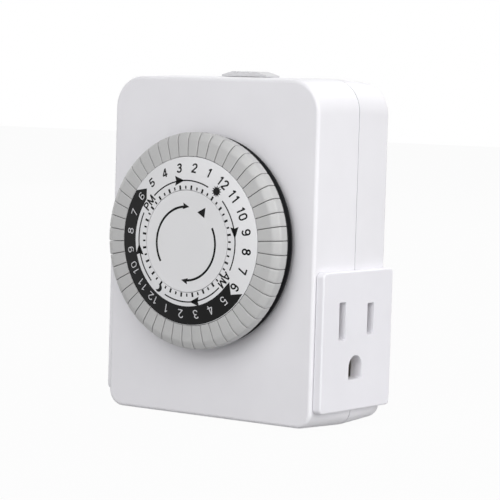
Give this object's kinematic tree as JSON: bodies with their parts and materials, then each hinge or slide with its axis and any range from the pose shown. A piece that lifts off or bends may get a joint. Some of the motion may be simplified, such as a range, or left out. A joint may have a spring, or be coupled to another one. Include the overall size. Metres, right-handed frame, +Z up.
{
  "type": "plug-in timer switch",
  "caption": "Plug-in mechanical timer switch: a white two-part casing with a large pin dial on its face, a slide on top, a grounded outlet on its side and plug blades behind.",
  "frame": {"origin": "on the flat rear face, midway between the two plug blades, where the wall outlet's face meets the casing", "axes": "+Y out of the rear face into the wall, along the blades; +Z up along the casing's long side; +X to the right of someone facing the dial"},
  "size_m": [0.0687, 0.0636, 0.0892],
  "materials": {
    "casing_white": "moulded white, fine satin",
    "outlet_white": "moulded white, satin",
    "dial_grey": "off-white with black print",
    "dial_black": "black, satin",
    "pin_grey": "light grey, satin",
    "slide_grey": "light grey, satin",
    "inner_plastic": "natural moulding",
    "gear_plastic": "natural acetal",
    "plated_brass": "nickel plated",
    "brass_strip": "bare strip",
    "silver_contact": "silver alloy",
    "zinc_steel": "zinc plated"
  },
  "bodies": {
    "casing": {"front_shell": "casing_white", "rear_shell": "casing_white", "outlet_block": "outlet_white", "blank_cover": "casing_white", "line_blade": "plated_brass", "neutral_blade": "plated_brass", "ground_pin": "plated_brass", "plug_base": "inner_plastic", "line_bus": "brass_strip", "load_bus": "brass_strip", "neutral_bus": "brass_strip", "ground_bus": "brass_strip", "contact_carrier": "inner_plastic", "chassis_plate": "zinc_steel", "chassis_screws": "zinc_steel", "dial_spindle": "zinc_steel", "centre_disc": "dial_grey", "idler_arbor": "zinc_steel", "motor_can": "zinc_steel", "motor_screws": "zinc_steel", "switch_base": "inner_plastic", "lever_pin": "zinc_steel", "fixed_contact": "silver_contact", "case_screws": "zinc_steel"},
    "dial": {"dial_ring": "dial_grey", "dial_carrier": "dial_black", "dial_gear": "gear_plastic", "dial_clip": "zinc_steel"},
    "idler": {"idler_gear": "gear_plastic"},
    "motor_rotor": {"motor_pinion": "gear_plastic"},
    "lever": {"switch_lever": "gear_plastic", "contact_leaf": "brass_strip"},
    "override": {"override_slide": "slide_grey", "override_link": "slide_grey"},
    "hour_pin_01": {"hour_pin_01": "pin_grey"},
    "hour_pin_02": {"hour_pin_02": "pin_grey"},
    "hour_pin_03": {"hour_pin_03": "pin_grey"},
    "hour_pin_04": {"hour_pin_04": "pin_grey"},
    "hour_pin_05": {"hour_pin_05": "pin_grey"},
    "hour_pin_06": {"hour_pin_06": "pin_grey"},
    "hour_pin_07": {"hour_pin_07": "pin_grey"},
    "hour_pin_08": {"hour_pin_08": "pin_grey"},
    "hour_pin_09": {"hour_pin_09": "pin_grey"},
    "hour_pin_10": {"hour_pin_10": "pin_grey"},
    "hour_pin_11": {"hour_pin_11": "pin_grey"},
    "hour_pin_12": {"hour_pin_12": "pin_grey"},
    "hour_pin_13": {"hour_pin_13": "pin_grey"},
    "hour_pin_14": {"hour_pin_14": "pin_grey"},
    "hour_pin_15": {"hour_pin_15": "pin_grey"},
    "hour_pin_16": {"hour_pin_16": "pin_grey"},
    "hour_pin_17": {"hour_pin_17": "pin_grey"},
    "hour_pin_18": {"hour_pin_18": "pin_grey"},
    "hour_pin_19": {"hour_pin_19": "pin_grey"},
    "hour_pin_20": {"hour_pin_20": "pin_grey"},
    "hour_pin_21": {"hour_pin_21": "pin_grey"},
    "hour_pin_22": {"hour_pin_22": "pin_grey"},
    "hour_pin_23": {"hour_pin_23": "pin_grey"},
    "hour_pin_24": {"hour_pin_24": "pin_grey"}
  },
  "joints": [
    {"name": "dial_spin", "type": "hinge", "parent": "casing", "child": "dial", "pos_m": [0, -0.037, -0.0145], "axis": [0, 1, 0], "continuous": true},
    {"name": "idler_spin", "type": "hinge", "parent": "casing", "child": "idler", "pos_m": [-0.01591, -0.027, -0.03041], "axis": [0, 1, 0], "continuous": true},
    {"name": "motor_spin", "type": "hinge", "parent": "casing", "child": "motor_rotor", "pos_m": [-0.00627, -0.025, -0.0419], "axis": [0, 1, 0], "continuous": true},
    {"name": "lever_tilt", "type": "hinge", "parent": "casing", "child": "lever", "pos_m": [0.01315, -0.0257, -0.00755], "axis": [-1, 0, 0], "range_deg": [0, 4.8]},
    {"name": "override_travel", "type": "slide", "parent": "casing", "child": "override", "axis": [1, 0, 0], "range_m": [0, 0.003]},
    {"name": "hour_pin_01_travel", "type": "slide", "parent": "dial", "child": "hour_pin_01", "axis": [0, 1, 0], "range_m": [0, 0.0015]},
    {"name": "hour_pin_02_travel", "type": "slide", "parent": "dial", "child": "hour_pin_02", "axis": [0, 1, 0], "range_m": [0, 0.0015]},
    {"name": "hour_pin_03_travel", "type": "slide", "parent": "dial", "child": "hour_pin_03", "axis": [0, 1, 0], "range_m": [0, 0.0015]},
    {"name": "hour_pin_04_travel", "type": "slide", "parent": "dial", "child": "hour_pin_04", "axis": [0, 1, 0], "range_m": [0, 0.0015]},
    {"name": "hour_pin_05_travel", "type": "slide", "parent": "dial", "child": "hour_pin_05", "axis": [0, 1, 0], "range_m": [0, 0.0015]},
    {"name": "hour_pin_06_travel", "type": "slide", "parent": "dial", "child": "hour_pin_06", "axis": [0, 1, 0], "range_m": [0, 0.0015]},
    {"name": "hour_pin_07_travel", "type": "slide", "parent": "dial", "child": "hour_pin_07", "axis": [0, 1, 0], "range_m": [0, 0.0015]},
    {"name": "hour_pin_08_travel", "type": "slide", "parent": "dial", "child": "hour_pin_08", "axis": [0, 1, 0], "range_m": [0, 0.0015]},
    {"name": "hour_pin_09_travel", "type": "slide", "parent": "dial", "child": "hour_pin_09", "axis": [0, 1, 0], "range_m": [0, 0.0015]},
    {"name": "hour_pin_10_travel", "type": "slide", "parent": "dial", "child": "hour_pin_10", "axis": [0, 1, 0], "range_m": [0, 0.0015]},
    {"name": "hour_pin_11_travel", "type": "slide", "parent": "dial", "child": "hour_pin_11", "axis": [0, 1, 0], "range_m": [0, 0.0015]},
    {"name": "hour_pin_12_travel", "type": "slide", "parent": "dial", "child": "hour_pin_12", "axis": [0, 1, 0], "range_m": [0, 0.0015]},
    {"name": "hour_pin_13_travel", "type": "slide", "parent": "dial", "child": "hour_pin_13", "axis": [0, 1, 0], "range_m": [0, 0.0015]},
    {"name": "hour_pin_14_travel", "type": "slide", "parent": "dial", "child": "hour_pin_14", "axis": [0, 1, 0], "range_m": [0, 0.0015]},
    {"name": "hour_pin_15_travel", "type": "slide", "parent": "dial", "child": "hour_pin_15", "axis": [0, 1, 0], "range_m": [0, 0.0015]},
    {"name": "hour_pin_16_travel", "type": "slide", "parent": "dial", "child": "hour_pin_16", "axis": [0, 1, 0], "range_m": [0, 0.0015]},
    {"name": "hour_pin_17_travel", "type": "slide", "parent": "dial", "child": "hour_pin_17", "axis": [0, 1, 0], "range_m": [0, 0.0015]},
    {"name": "hour_pin_18_travel", "type": "slide", "parent": "dial", "child": "hour_pin_18", "axis": [0, 1, 0], "range_m": [0, 0.0015]},
    {"name": "hour_pin_19_travel", "type": "slide", "parent": "dial", "child": "hour_pin_19", "axis": [0, 1, 0], "range_m": [0, 0.0015]},
    {"name": "hour_pin_20_travel", "type": "slide", "parent": "dial", "child": "hour_pin_20", "axis": [0, 1, 0], "range_m": [0, 0.0015]},
    {"name": "hour_pin_21_travel", "type": "slide", "parent": "dial", "child": "hour_pin_21", "axis": [0, 1, 0], "range_m": [0, 0.0015]},
    {"name": "hour_pin_22_travel", "type": "slide", "parent": "dial", "child": "hour_pin_22", "axis": [0, 1, 0], "range_m": [0, 0.0015]},
    {"name": "hour_pin_23_travel", "type": "slide", "parent": "dial", "child": "hour_pin_23", "axis": [0, 1, 0], "range_m": [0, 0.0015]},
    {"name": "hour_pin_24_travel", "type": "slide", "parent": "dial", "child": "hour_pin_24", "axis": [0, 1, 0], "range_m": [0, 0.0015]}
  ],
  "couplings": [
    {"joint": "idler_spin", "follows": "dial_spin", "ratio": -4},
    {"joint": "motor_spin", "follows": "dial_spin", "ratio": 16},
    {"joint": "lever_tilt", "follows": "override_travel", "rad_per_m": 24.43}
  ]
}
